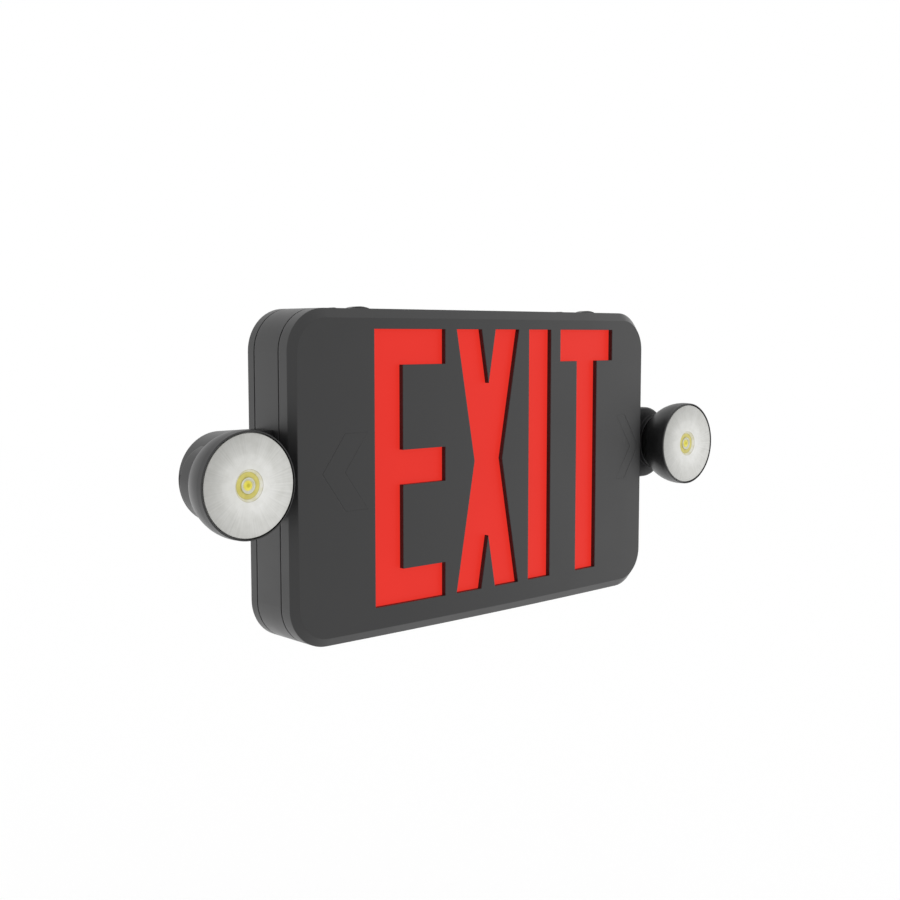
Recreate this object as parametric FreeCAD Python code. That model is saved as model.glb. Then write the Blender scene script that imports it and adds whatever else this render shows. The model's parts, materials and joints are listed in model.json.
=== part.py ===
# Emergency exit light with two adjustable lamp heads, for a wall or a junction box.
#
# Frame: millimetres, origin at the middle of the back face, on the wall.
# +X is the viewer's right, -Y points out of the wall at the viewer, +Z is up.
# Most depths are given as heights above the wall, so a height h lies at y = -h.

import FreeCAD, Part
import math
import os

V = FreeCAD.Vector

# ---------------------------------------------------------------- driving dimensions, mm

# Housing outline and its three layers: back plate, middle frame, front cover
housing_width = 286.0
housing_height = 180.4
housing_depth = 43.0            # wall to the crown of the bowed face
corner_radius = 23.0
face_radius = 3106.0            # the face bows outwards in plan
bevel_drop = 4.1                # the bevel round the face, towards the wall
side_bevel = 3.2                # its width at the two ends
edge_bevel = 5.15               # its width along the top and the bottom
inner_bevel = 2.2
side_wall = 2.4
face_wall = 3.05
plate_joint = 5.9               # height of the joint between back plate and frame
cover_depth = 15.0              # from the crown of the face to the joint between frame and cover
seam_gap = 0.8                  # shadow gap at both joints
tongue_height = 3.4             # the frame's and plate's tongues centre the next layer
tongue_wall = 1.6
tongue_clearance = 0.15

# Snap beads at the joints, with a pry lip above each one on the top of the housing
snap_x = 93.0
snap_width = 12.0
snap_depth = 1.1
snap_length = 1.4
snap_clearance = 0.25
cover_lip_width = 14.0
cover_lip_rise = 1.2
cover_lip_length = 5.0
frame_lip_width = 7.0
frame_lip_rise = 1.0
frame_lip_length = 4.0

# The word, cut through the cover: letters of six inches
word_margin = 14.0              # from the letters to the top and bottom of the housing, on average
word_end_margin = 43.9          # from the word to the ends of the housing, on average
letter_stroke = 19.65
letter_arm = 19.5               # height of the level strokes
letter_gap = 8.7
word_x = 9.1                    # middle of the word, right of the middle of the housing
word_z = 3.1
x_waist_half = 11.3             # letter X at mid height
x_notch_half = 5.6              # half the width of its upper and lower notches
x_notch_apex = 45.0             # how near the notches come to mid height

# Chevron knock-outs, scored into the face on both sides of the word
chevron_height = 42.0
chevron_point = 15.0            # how far the point stands out
chevron_left_margin = 14.8      # from the point to the bevel
chevron_right_margin = 2.6
chevron_gap = 5.0               # from the word to the chevron
score_width = 0.3
score_depth = 0.12

# Light box: red panel, white tray and two LED strips
panel_thickness = 2.0
panel_side_overlap = 10.9       # how far the panel reaches past the word
panel_edge_overlap = 5.0
panel_gap = 0.1
web_setback = 5.6               # from the cover's joint back to the rear of the frame's web
web_thickness = 2.0
tray_side_margin = 6.9          # from the word to the outside of the tray
tray_edge_margin = 3.8
tray_wall = 1.2
tray_radius = 8.0
tray_gap = 0.25                 # between the tray's rim and the panel
strip_end_gap = 3.0             # from the strips' ends to the tray's round corners
strip_width = 8.0
strip_thickness = 1.0
strip_clearance = 1.5           # from the strips to the panel, at the strips' right ends
strip_led_count = 12
strip_led_size = 3.0
strip_led_rise = 0.8
lead_hole_radius = 4.0          # LED leads pass through the tray and the web

# Back plate: box screw slots, keyholes and wire entry
plate_floor = 2.4
wire_entry_radius = 11.1        # half-inch trade size knock-out, opened
box_slot_spacing = 86.0         # spans single gang and octagon box screws
box_slot_length = 12.0
box_slot_radius = 2.3
keyhole_spacing = 210.0
keyhole_z = 40.0
keyhole_head_radius = 4.6
keyhole_slot_radius = 2.3
keyhole_drop = 8.0

# Control board and what stands on it
board_width = 150.0
board_height = 60.0
board_thickness = 1.6
board_x = 20.0
board_bottom_gap = 4.4          # from the frame's bottom wall to the board
standoff_height = 3.0
standoff_radius = 3.2
board_screw_inset = 5.0
screw_radius = 1.25
screw_head_radius = 2.6
screw_head_height = 1.7
screw_bite = 4.0                # length of screw in the plastic
transformer_gap = 2.9           # from the transformer to the back plate
transformer_width = 32.0
transformer_rise = 27.0
coil_share = 0.6                # of the transformer's width
coil_depth_share = 0.86
coil_overhang = 4.0             # above and below the core
relay_size = (15.0, 10.0, 12.0)
relay_edge_gap = 29.5           # from the board's right end
relay_raise = 2.0
capacitor_radius = 4.0
capacitor_length = 14.0
capacitor_gap = 3.0
capacitor_offset = 4.0          # the first can stands this far left of the board's middle
capacitor_foot = 6.0            # room for the screw heads below the cans
terminal_size = (24.0, 11.0, 9.0)
terminal_pole_count = 3
connector_size = (9.0, 6.0, 7.0)
connector_wall = 0.8
connector_floor = 1.5
connector_edge_gap = 2.0        # from the board's top edge
connector_inset = 16.0          # of the outer headers, from the board's ends
connector_pitch = 12.0

# Battery pack: three cells side by side in a heat-shrink sleeve
cell_radius = 6.9
cell_length = 50.0
cell_count = 3
battery_end_gap = 11.6          # from the cells to the end wall
battery_z = -20.0
battery_clearance = 0.2
strap_width = 14.0
strap_wall = 1.4
strap_foot = 9.0

# Test button and status light, in the bottom of the frame
button_x = 62.0
button_radius = 4.0
button_flange_radius = 5.6
button_flange = 1.4
button_recess = 0.4             # its face lies this far inside the housing
button_travel = 1.2
button_clearance = 0.08
flange_room = 0.7               # round the flanges of the button and the light pipe
finger_dish_radius = 6.6
finger_dish_depth = 1.0
switch_size = (8.0, 6.0, 7.0)
plunger_radius = 1.5
light_pipe_spacing = 16.0       # from the button to the status light
light_pipe_radius = 2.5
light_pipe_flange_radius = 3.6
light_pipe_flange = 1.2
status_led_radius = 1.5

# Lamp arm: a hollow round-ended arm on each end of the frame
arm_radius = 24.0
arm_length = 47.6               # from the housing to the arm's round end
arm_front = 22.5                # height of its front face above the wall
arm_back = 6.5
arm_wall = 2.2
arm_edge_radius = 1.0
arm_lid = 2.0
arm_lid_clearance = 0.15
lamp_z = 2.4                    # lamp heads' height above the middle of the housing
arm_screw_spacing = 26.0
arm_screw_radius = 1.5
arm_screw_length = 8.0
arm_boss_radius = 3.6
arm_wire_hole_radius = 5.0
latch_window_length = 2.9       # snap window in the arm's rim
latch_window_height = 6.0
latch_window_inset = 1.7        # from the arm's back face
latch_tab_depth = 1.8           # the tab stands this deep in the window

# Lamp head: a round bowl that turns in a spherical seat on the arm
head_reach = 33.9               # axis of the head, from the end of the housing
lens_height = 51.3              # height of the head's rim above the wall
bowl_radius = 27.5              # sphere of the bowl's outside
bowl_rim_radius = 27.35
bowl_rim_straight = 4.0         # from the rim to the centre of the sphere
bowl_wall = 2.0
seat_gap = 0.25
seat_radius = 18.7              # outside of the seat's collar
seat_lip_radius = 17.8          # its inner edge, where the bowl goes in
seat_web = 2.5
pivot_radius = 5.0
pivot_clearance = 0.05
pivot_bore = 2.2                # the leads pass through the pivot
pivot_head_radius = 6.0
pivot_head = 2.2
saddle_radius = 8.5
saddle_thickness = 3.0
saddle_gap = 0.2
key_width = 8.2
key_length = 9.0
key_clearance = 0.1
tilt_limit = 28.0               # degrees, up or down
spring_radius = 9.0
spring_height = 1.6
spring_thickness = 0.8
nut_width = 13.0                # across flats
nut_height = 4.0

# Lens, LED and heat sink in the bowl
lens_radius = 26.6
lens_recess = 0.4
lens_thickness = 1.8
lens_clearance = 0.1
lens_cone_top_radius = 23.5
lens_cone_radius = 8.0
lens_depth = 13.0               # from the lens's front to the foot of its cone
lens_cavity_radius = 3.6
lens_cavity_depth = 6.0
lens_dimple_radius = 6.5
lens_dimple_depth = 0.6
head_led_gap = 0.3
head_led_size = 5.0
head_led_base = 0.8
head_led_dome = 1.7
head_board_radius = 10.0
head_board_thickness = 1.4
heat_sink_thickness = 2.0
heat_sink_clearance = 0.25

# ---------------------------------------------------------------- sizes worked out from these

half_width = housing_width / 2
half_height = housing_height / 2
inner_half_width = half_width - side_wall
inner_half_height = half_height - side_wall
cover_joint = housing_depth - cover_depth
web_height = cover_joint - web_setback
cover_edge = cover_joint + seam_gap / 2
frame_front_edge = cover_joint - seam_gap / 2
frame_back_edge = plate_joint + seam_gap / 2
plate_edge = plate_joint - seam_gap / 2
web_front = web_height + web_thickness
board_back = web_height - standoff_height - board_thickness
board_z = -inner_half_height + board_bottom_gap + board_height / 2
board_bottom = board_z - board_height / 2
switch_height = board_back - switch_size[1] / 2
arm_x = half_width + arm_length - arm_radius
head_x = half_width + head_reach
ball_height = lens_height - bowl_rim_straight
letter_height = housing_height - 2 * word_margin
word_half = half_width - word_end_margin
letter_width = (2 * word_half - letter_stroke - 3 * letter_gap) / 3
chevron_room = half_width - side_bevel - word_half - chevron_gap
chevron_left_width = chevron_room + word_x - chevron_left_margin
chevron_right_width = chevron_room - word_x - chevron_right_margin
panel_width = 2 * (word_half + panel_side_overlap)
panel_height = letter_height + 2 * panel_edge_overlap
tray_width = 2 * (word_half + tray_side_margin)
tray_height = letter_height + 2 * tray_edge_margin
strip_length = tray_width - 2 * (tray_radius + strip_end_gap)
strip_end_sag = face_radius - math.sqrt(face_radius ** 2 - (abs(word_x) + strip_length / 2) ** 2)
strip_front = housing_depth - strip_end_sag - face_wall - panel_gap - panel_thickness - strip_clearance
strip_height = strip_front - strip_width
transformer_size = (transformer_width, board_back - plate_floor - transformer_gap, transformer_rise)
battery_x = -inner_half_width + battery_end_gap + cell_length / 2
snap_height_cover = frame_front_edge + tongue_height / 2
snap_height_plate = plate_edge + tongue_height / 2

os.makedirs("parts", exist_ok=True)


# ---------------------------------------------------------------- drawing helpers


def save(name, shape):
    """Write one sub-part as a STEP file."""
    shape.exportStep("parts/" + name + ".step")


def flat_face(points):
    """A face in the XZ plane with straight edges through (x, z) points."""
    corners = [V(x, 0, z) for x, z in points]
    return Part.Face(Part.makePolygon(corners + corners[:1]))


def rounded_rectangle(width, height, radius, x=0.0, z=0.0):
    """A face in the XZ plane with round corners."""
    edges = []
    middle = V(x, 0, z)
    for quarter in range(4):
        turn = quarter * math.pi / 2
        across, up = (width / 2, height / 2) if quarter % 2 == 0 else (height / 2, width / 2)

        def place(a, b):
            return middle + V(a * math.cos(turn) - b * math.sin(turn), 0, a * math.sin(turn) + b * math.cos(turn))

        sag = radius * (1 - math.sqrt(0.5))
        edges.append(Part.makeLine(place(across, -up + radius), place(across, up - radius)))
        edges.append(Part.Arc(place(across, up - radius), place(across - sag, up - sag), place(across - radius, up)).toShape())
    return Part.Face(Part.Wire(edges))


def disc_face(radius, x=0.0, z=0.0):
    """A round face in the XZ plane."""
    return Part.Face(Part.Wire(Part.makeCircle(radius, V(x, 0, z), V(0, 1, 0))))


def stand(face, low, high):
    """Extrude a face in the XZ plane between two heights above the wall."""
    profile = face.copy()
    profile.translate(V(0, -low, 0))
    return profile.extrude(V(0, low - high, 0))


def block(x_low, x_high, low, high, z_low, z_high):
    """A box between two heights above the wall."""
    return Part.makeBox(x_high - x_low, high - low, z_high - z_low, V(x_low, -high, z_low))


def block_at(x, z, size, low):
    """A box of size (x, height, z) that stands on height `low`, centred on (x, z)."""
    across, rise, up = size
    return block(x - across / 2, x + across / 2, low, low + rise, z - up / 2, z + up / 2)


def block_below(x, z, size, high):
    """A box of size (x, depth, z) that hangs from height `high` towards the wall."""
    return block_at(x, z, size, high - size[1])


def pin(radius, low, high, x, z):
    """A cylinder across the wall, between two heights above it."""
    return Part.makeCylinder(radius, high - low, V(x, -low, z), V(0, -1, 0))


def upright(radius, z_low, z_high, x, height):
    """A cylinder along Z."""
    return Part.makeCylinder(radius, z_high - z_low, V(x, -height, z_low), V(0, 0, 1))


def crown(inset):
    """Everything behind the bowed face, or behind a surface set in from it."""
    reach = 2 * housing_height
    return Part.makeCylinder(face_radius - inset, 2 * reach, V(0, face_radius - housing_depth, -reach), V(0, 0, 1))


def outline(inset):
    """The housing's outline, set in all round."""
    return rounded_rectangle(housing_width - 2 * inset, housing_height - 2 * inset, corner_radius - inset)


def ring(low, high, outer_inset, inner_inset):
    """A band of the housing's outline between two heights."""
    return stand(outline(outer_inset), low, high).cut(stand(outline(inner_inset), low - 1, high + 1))


def snap_beads(height, z_face, inwards, grow):
    """Four beads on the inside of the top and bottom walls, near the joint."""
    beads = []
    for side in (-1, 1):
        for up in (-1, 1):
            z_wall = up * z_face
            z_tip = z_wall - up * (inwards + grow)
            beads.append(block(side * snap_x - snap_width / 2 - grow, side * snap_x + snap_width / 2 + grow,
                               height - snap_length / 2 - grow, height + snap_length / 2 + grow,
                               min(z_wall, z_tip), max(z_wall, z_tip)))
    return beads


def pry_lip(x, width, rise, low, high):
    """A low arched lip on the top of the housing."""
    radius = (width ** 2 / 4 + rise ** 2) / (2 * rise)
    whole = pin(radius, low, high, x, half_height + rise - radius)
    return whole.common(block(x - width, x + width, low - 1, high + 1, half_height - side_wall / 2, half_height + rise + 1))


def revolve(edges, x, z):
    """Turn a profile of (radius, height) edges about the axis across the wall at (x, z)."""
    face = Part.Face(Part.Wire(edges))
    solid = face.revolve(V(0, 0, 0), V(0, 1, 0), 360)
    solid.translate(V(x, 0, z))
    return solid


def profile_line(*points):
    """Straight profile edges through (radius, height) points."""
    return [Part.makeLine(V(a[0], -a[1], 0), V(b[0], -b[1], 0)) for a, b in zip(points, points[1:])]


def ball_arc(radius, start_angle, end_angle):
    """A profile arc about the ball centre; angles are measured from the rear pole, in degrees."""
    def at(angle):
        turn = math.radians(angle)
        return V(radius * math.sin(turn), -ball_height + radius * math.cos(turn), 0)
    return Part.Arc(at(start_angle), at((start_angle + end_angle) / 2), at(end_angle)).toShape()


def ball_depth(radius, out):
    """Height above the wall of a sphere about the ball centre, at distance `out` from the axis."""
    return ball_height - math.sqrt(radius ** 2 - out ** 2)


def mirrored(shape):
    return shape.mirror(V(0, 0, 0), V(1, 0, 0))


# ---------------------------------------------------------------- front cover


def letter_e(left):
    arm, stem = letter_arm, left + letter_stroke
    top, right = letter_height / 2, left + letter_width
    return [(left, -top), (right, -top), (right, -top + arm), (stem, -top + arm), (stem, -arm / 2),
            (right, -arm / 2), (right, arm / 2), (stem, arm / 2), (stem, top - arm),
            (right, top - arm), (right, top), (left, top)]


def letter_x(left):
    top, middle = letter_height / 2, left + letter_width / 2
    half = letter_width / 2
    right_side = [(x_notch_half, top), (half, top), (x_waist_half, 0), (half, -top), (x_notch_half, -top)]
    left_side = [(-x, -z) for x, z in right_side]
    loop = [(0, x_notch_apex)] + right_side + [(0, -x_notch_apex)] + left_side
    return [(middle + x, z) for x, z in loop]


def letter_i(left):
    top = letter_height / 2
    return [(left, -top), (left + letter_stroke, -top), (left + letter_stroke, top), (left, top)]


def letter_t(left):
    top, middle = letter_height / 2, left + letter_width / 2
    stem = letter_stroke / 2
    foot = top - letter_arm
    return [(middle - stem, -top), (middle + stem, -top), (middle + stem, foot), (left + letter_width, foot),
            (left + letter_width, top), (left, top), (left, foot), (middle - stem, foot)]


def word_cutters():
    """The four letters as solids that pass through the face."""
    cutters = []
    left = word_x - word_half
    for letter, width in ((letter_e, letter_width), (letter_x, letter_width),
                          (letter_i, letter_stroke), (letter_t, letter_width)):
        points = [(x, z + word_z) for x, z in letter(left)]
        cutters.append(stand(flat_face(points), cover_edge, housing_depth + 1))
        left += width + letter_gap
    return cutters


def chevron_face(width, side, inset):
    """An arrow head beside the word; side is -1 on the left and 1 on the right."""
    start = word_x + side * (word_half + chevron_gap)
    half = chevron_height / 2 - inset
    arm = width - chevron_point
    back = inset * 2 * chevron_point / chevron_height
    points = [(inset, half), (arm - back, half), (width - 2 * inset, 0), (arm - back, -half),
              (inset, -half), (chevron_point + inset, 0)]
    return flat_face([(start + side * x, z + word_z) for x, z in points])


def chevron_score(width, side):
    """The thin groove round one chevron."""
    low, high = housing_depth - 3 * face_wall, housing_depth + 1
    band = stand(chevron_face(width, side, 0), low, high).cut(stand(chevron_face(width, side, score_width), low, high))
    return band.cut(crown(score_depth))


def front_face(solid):
    return max(solid.Faces, key=lambda f: abs(f.CenterOfMass.y))


def cover_outside():
    """Straight sides, the bowed face and a bevel between them that is wider along the top and bottom."""
    sides = stand(outline(0), cover_edge, housing_depth + 1).common(crown(bevel_drop))
    inside_bevel = rounded_rectangle(housing_width - 2 * side_bevel, housing_height - 2 * edge_bevel,
                                     corner_radius - (side_bevel + edge_bevel) / 2)
    front = front_face(stand(inside_bevel, cover_edge, housing_depth + 1).common(crown(0)))
    lower = front_face(sides)
    faces = [face for face in sides.Faces if not face.isSame(lower)] + [front]
    for edge in lower.Edges:
        partner = min(front.Edges, key=lambda other: other.CenterOfMass.distanceToPoint(edge.CenterOfMass))
        faces.append(Part.makeRuledSurface(edge, partner))
    shell = Part.Shell(faces)
    shell.sewShape()
    solid = Part.Solid(shell)
    if solid.Volume < 0:
        solid.reverse()
    return solid


def make_front_cover():
    hollow = stand(outline(side_wall), cover_edge - 1, housing_depth + 1).common(crown(face_wall))
    hollow = hollow.makeChamfer(inner_bevel, front_face(hollow).Edges)
    cover = cover_outside().cut(hollow)
    for cutter in word_cutters():
        cover = cover.cut(cutter)
    for width, side in ((chevron_left_width, -1), (chevron_right_width, 1)):
        cover = cover.cut(chevron_score(width, side))
    beads = snap_beads(snap_height_cover, inner_half_height, snap_depth, 0)
    lips = [pry_lip(side * snap_x, cover_lip_width, cover_lip_rise, cover_edge, cover_edge + cover_lip_length)
            for side in (-1, 1)]
    return cover.fuse(beads + lips).removeSplitter()


save("front_cover", make_front_cover())


# ---------------------------------------------------------------- light box


def make_exit_panel():
    """The red panel follows the inside of the bowed face."""
    blank = stand(rounded_rectangle(panel_width, panel_height, tray_radius, word_x, word_z), cover_edge, housing_depth)
    front = face_wall + panel_gap
    return blank.common(crown(front)).cut(crown(front + panel_thickness))


def make_reflector_tray():
    """A white tray between the web and the panel, open to the front."""
    outside = rounded_rectangle(tray_width, tray_height, tray_radius, word_x, word_z)
    inside = rounded_rectangle(tray_width - 2 * tray_wall, tray_height - 2 * tray_wall, tray_radius - tray_wall,
                               word_x, word_z)
    tray = stand(outside, web_front, housing_depth).cut(stand(inside, web_front + tray_wall, housing_depth + 1))
    tray = tray.common(crown(face_wall + panel_gap + panel_thickness + tray_gap))
    return tray.cut(lead_hole())


def lead_hole():
    return pin(lead_hole_radius, web_height - 1, web_front + tray_wall + 1,
               word_x - tray_width / 2 + 4 * lead_hole_radius, word_z)


def strip_place(up):
    """z of a strip's wall side and of its lit side."""
    wall = word_z + up * (tray_height / 2 - tray_wall)
    return wall, wall - up * strip_thickness


def make_led_strip(up):
    wall, lit = strip_place(up)
    return block(word_x - strip_length / 2, word_x + strip_length / 2, strip_height, strip_height + strip_width,
                 min(wall, lit), max(wall, lit))


def make_sign_leds():
    leds = []
    pitch = strip_length / strip_led_count
    for up in (-1, 1):
        lit = strip_place(up)[1]
        tip = lit - up * strip_led_rise
        for number in range(strip_led_count):
            x = word_x + pitch * (number - (strip_led_count - 1) / 2)
            middle = strip_height + strip_width / 2
            leds.append(block(x - strip_led_size / 2, x + strip_led_size / 2, middle - strip_led_size / 2,
                              middle + strip_led_size / 2, min(lit, tip), max(lit, tip)))
    return Part.makeCompound(leds)


save("exit_panel", make_exit_panel())
save("reflector_tray", make_reflector_tray())
save("led_strip_top", make_led_strip(1))
save("led_strip_bottom", make_led_strip(-1))
save("sign_leds", make_sign_leds())


# ---------------------------------------------------------------- middle frame


def board_screw_places():
    across = board_width / 2 - board_screw_inset
    up = board_height / 2 - board_screw_inset
    return [(board_x + a * across, board_z + b * up) for a in (-1, 1) for b in (-1, 1)]


def strap_screw_places():
    reach = cell_count * cell_radius + battery_clearance + strap_foot / 2 + strap_wall
    return [(battery_x, battery_z + side * reach) for side in (-1, 1)]


def arm_screw_heights():
    return [lamp_z - arm_screw_spacing / 2, lamp_z + arm_screw_spacing / 2]


def arm_middle():
    return (arm_front + arm_back) / 2


def make_middle_frame():
    wall = ring(frame_back_edge, frame_front_edge, 0, side_wall)
    inset = side_wall + tongue_clearance
    tongue = ring(frame_front_edge - side_wall, frame_front_edge + tongue_height, inset, inset + tongue_wall)
    joggle = ring(frame_front_edge - side_wall, frame_front_edge, side_wall / 2, inset + tongue_wall)
    web = stand(outline(side_wall / 2), web_height, web_front)
    standoffs = [pin(standoff_radius, web_height - standoff_height, web_height + web_thickness / 2, x, z)
                 for x, z in board_screw_places()]
    feet = [block_below(x, z, (strap_width, standoff_height, strap_foot), web_height + web_thickness / 2)
            for x, z in strap_screw_places()]
    plate_beads = snap_beads(snap_height_plate, inner_half_height, snap_depth, 0)
    lips = [pry_lip(side * snap_x, frame_lip_width, frame_lip_rise, frame_back_edge,
                    frame_back_edge + frame_lip_length) for side in (-1, 1)]
    frame = wall.fuse([tongue, joggle, web] + standoffs + feet + plate_beads + lips)

    cuts = snap_beads(snap_height_cover, inner_half_height, inset + tongue_wall, snap_clearance)
    cuts += [pin(screw_radius, web_height - standoff_height - 1, web_front - web_thickness / 2, x, z)
             for x, z in board_screw_places() + strap_screw_places()]
    cuts.append(lead_hole())
    for side in (-1, 1):
        for z in arm_screw_heights():
            cuts.append(across_pin(arm_screw_radius + tongue_clearance, side, inner_half_width - 1, half_width + 1, z))
        cuts.append(across_pin(arm_wire_hole_radius, side, inner_half_width - 1, half_width + 1, lamp_z))
    cuts += [button_hole(), light_pipe_hole()]
    return frame.cut(cuts).removeSplitter()


def across_pin(radius, side, near, far, z):
    """A cylinder along X through one end of the housing, at the arm's middle height."""
    return Part.makeCylinder(radius, far - near, V(side * near, -arm_middle(), z), V(side, 0, 0))


def button_hole():
    """A bore for the button with a shallow dish for the fingertip."""
    bore = upright(button_radius + button_clearance, -half_height - 1, -inner_half_height + 1, button_x, switch_height)
    dish = Part.makeCone(finger_dish_radius, button_radius + button_clearance, finger_dish_depth,
                         V(button_x, -switch_height, -half_height), V(0, 0, 1))
    return bore.fuse(dish)


def light_pipe_hole():
    return upright(light_pipe_radius + button_clearance, -half_height - 1, -inner_half_height + 1,
                   button_x + light_pipe_spacing, switch_height)


save("middle_frame", make_middle_frame())


# ---------------------------------------------------------------- back plate


def make_back_plate():
    floor = stand(outline(0), 0, plate_floor)
    rim = ring(0, plate_edge, 0, side_wall)
    inset = side_wall + tongue_clearance
    tongue = ring(plate_floor / 2, plate_edge + tongue_height, inset, inset + tongue_wall)
    joggle = ring(plate_floor / 2, plate_edge, side_wall / 2, inset + tongue_wall)
    plate = floor.fuse([rim, tongue, joggle])

    cuts = snap_beads(snap_height_plate, inner_half_height, inset + tongue_wall, snap_clearance)
    cuts.append(pin(wire_entry_radius, -1, plate_floor + 1, 0, 0))
    for side in (-1, 1):
        slot = rounded_rectangle(box_slot_length, 2 * box_slot_radius, box_slot_radius - 0.01, side * box_slot_spacing / 2, 0)
        cuts.append(stand(slot, -1, plate_floor + 1))
        x = side * keyhole_spacing / 2
        cuts.append(pin(keyhole_head_radius, -1, plate_floor + 1, x, keyhole_z))
        neck = rounded_rectangle(2 * keyhole_slot_radius, 2 * keyhole_drop, keyhole_slot_radius - 0.01, x, keyhole_z)
        upper = block(x - keyhole_head_radius, x + keyhole_head_radius, -1, plate_floor + 1,
                      keyhole_z, keyhole_z + keyhole_drop + 1)
        cuts.append(stand(neck, -1, plate_floor + 1).common(upper))
    cuts += [flange_notch(button_x, button_flange_radius), flange_notch(button_x + light_pipe_spacing, light_pipe_flange_radius)]
    return plate.cut(cuts).removeSplitter()


def flange_notch(x, radius):
    """The plate's tongue gives way to a flange inside the bottom wall."""
    reach = radius + flange_room
    low = switch_height - reach
    return block(x - reach, x + reach, low, low + 2 * reach, -inner_half_height, -inner_half_height + 3 * tongue_wall)


save("back_plate", make_back_plate())


# ---------------------------------------------------------------- control board


def make_control_board():
    board = block(board_x - board_width / 2, board_x + board_width / 2, board_back, board_back + board_thickness,
                  board_bottom, board_bottom + board_height)
    holes = [pin(screw_radius + tongue_clearance, board_back - 1, board_back + board_thickness + 1, x, z)
             for x, z in board_screw_places()]
    return board.cut(holes)


def make_screws(places, under_head):
    """Pan head screws driven towards the viewer; the underside of each head is at a height above the wall."""
    screws = []
    for x, z in places:
        head = pin(screw_head_radius, under_head - screw_head_height, under_head, x, z)
        shank_end = min(under_head + board_thickness + screw_bite, web_front - web_thickness / 2)
        screws.append(head.fuse(pin(screw_radius, under_head, shank_end, x, z)))
    return Part.makeCompound(screws)


def make_transformer():
    x, z = board_x - board_width / 4, board_z
    core = block_below(x, z, transformer_size, board_back)
    across, rise, up = transformer_size
    coil = block_below(x, z, (across * coil_share, rise * coil_depth_share, up + 2 * coil_overhang), board_back)
    return core.fuse(coil).removeSplitter()


def make_capacitors():
    cans = []
    for number in range(2):
        x = board_x - capacitor_offset + number * (2 * capacitor_radius + capacitor_gap)
        low = board_bottom + board_screw_inset + screw_head_radius + capacitor_foot
        cans.append(upright(capacitor_radius, low, low + capacitor_length, x, board_back - capacitor_radius))
    return Part.makeCompound(cans)


def make_terminal_block():
    """Mains terminals at the board's top edge, mouths upwards, beside the wire entry."""
    across, rise, up = terminal_size
    top = board_z + board_height / 2
    body = block_below(board_x, top - up / 2, terminal_size, board_back)
    pitch = across / terminal_pole_count
    cuts = []
    for pole in range(terminal_pole_count):
        x = board_x + pitch * (pole - (terminal_pole_count - 1) / 2)
        cuts.append(upright(1.7, top - 0.7 * up, top + 1, x, board_back - 0.62 * rise))
        cuts.append(pin(1.9, board_back - rise - 1, board_back - 0.8 * rise, x, top - up / 2))
    return body.cut(cuts)


def make_board_connectors():
    """Plug-in headers for the battery and the two lamp heads."""
    top = board_z + board_height / 2 - connector_size[2] / 2 - connector_edge_gap
    outer = board_width / 2 - connector_inset
    places = [board_x - outer, board_x + outer - connector_pitch, board_x + outer]
    headers = []
    for x in places:
        body = block_below(x, top, connector_size, board_back)
        across, rise, up = connector_size
        room = (across - 2 * connector_wall, rise, up - 2 * connector_wall)
        headers.append(body.cut(block_below(x, top, room, board_back - connector_floor)))
    return Part.makeCompound(headers)


save("control_board", make_control_board())
save("board_screws", make_screws(board_screw_places(), board_back))
save("transformer", make_transformer())
relay_x = board_x + board_width / 2 - relay_edge_gap - relay_size[0] / 2
save("relay", block_below(relay_x, board_z + relay_raise, relay_size, board_back))
save("capacitors", make_capacitors())
save("terminal_block", make_terminal_block())
save("board_connectors", make_board_connectors())


# ---------------------------------------------------------------- battery pack and its strap

battery_top = web_height - battery_clearance
battery_axis = battery_top - cell_radius


def battery_outline(radius):
    """Section of the sleeve round the cells, in the YZ plane at x = 0."""
    reach = (cell_count - 1) * cell_radius
    low, high = battery_z - reach, battery_z + reach
    y = -battery_axis
    return Part.Face(Part.Wire([
        Part.makeLine(V(0, y - radius, low), V(0, y - radius, high)),
        Part.Arc(V(0, y - radius, high), V(0, y, high + radius), V(0, y + radius, high)).toShape(),
        Part.makeLine(V(0, y + radius, high), V(0, y + radius, low)),
        Part.Arc(V(0, y + radius, low), V(0, y, low - radius), V(0, y - radius, low)).toShape()]))


def along_x(face, x, length):
    solid = face.extrude(V(length, 0, 0))
    solid.translate(V(x - length / 2, 0, 0))
    return solid


def make_battery_pack():
    """Cells side by side, drawn together by the sleeve, with grooves between them."""
    pack = along_x(battery_outline(cell_radius), battery_x, cell_length)
    groove = 0.28 * cell_radius
    for number in range(cell_count - 1):
        z = battery_z + cell_radius * (2 * number - cell_count + 2)
        for y in (-battery_axis - cell_radius, -battery_axis + cell_radius):
            wedge = Part.makeCylinder(groove, cell_length, V(battery_x - cell_length / 2, y, z), V(1, 0, 0))
            pack = pack.cut(wedge)
    return pack


def strap_legs(radius, width, top):
    """From the middle of the cells straight up to the web."""
    reach = (cell_count - 1) * cell_radius + radius
    return block(battery_x - width / 2, battery_x + width / 2, battery_axis, top, battery_z - reach, battery_z + reach)


def make_battery_strap():
    """A saddle strap over the pack, with a screwed foot at each end."""
    inner = cell_radius + battery_clearance
    outer = inner + strap_wall
    foot_height = web_height - standoff_height
    band = along_x(battery_outline(outer), battery_x, strap_width).fuse(strap_legs(outer, strap_width, foot_height))
    feet = [block_below(x, z, (strap_width, strap_wall, strap_foot), foot_height) for x, z in strap_screw_places()]
    band = band.fuse(feet)
    band = band.cut([along_x(battery_outline(inner), battery_x, strap_width + 2),
                     strap_legs(inner, strap_width + 2, web_height)])
    room = block(battery_x - strap_width, battery_x + strap_width, 0, foot_height, -half_height, half_height)
    holes = [pin(screw_radius + tongue_clearance, 0, web_height, x, z) for x, z in strap_screw_places()]
    return band.common(room).cut(holes).removeSplitter()


save("battery_pack", make_battery_pack())
save("battery_strap", make_battery_strap())
save("strap_screws", make_screws(strap_screw_places(), web_height - standoff_height - strap_wall))


# ---------------------------------------------------------------- test button and status light

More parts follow.
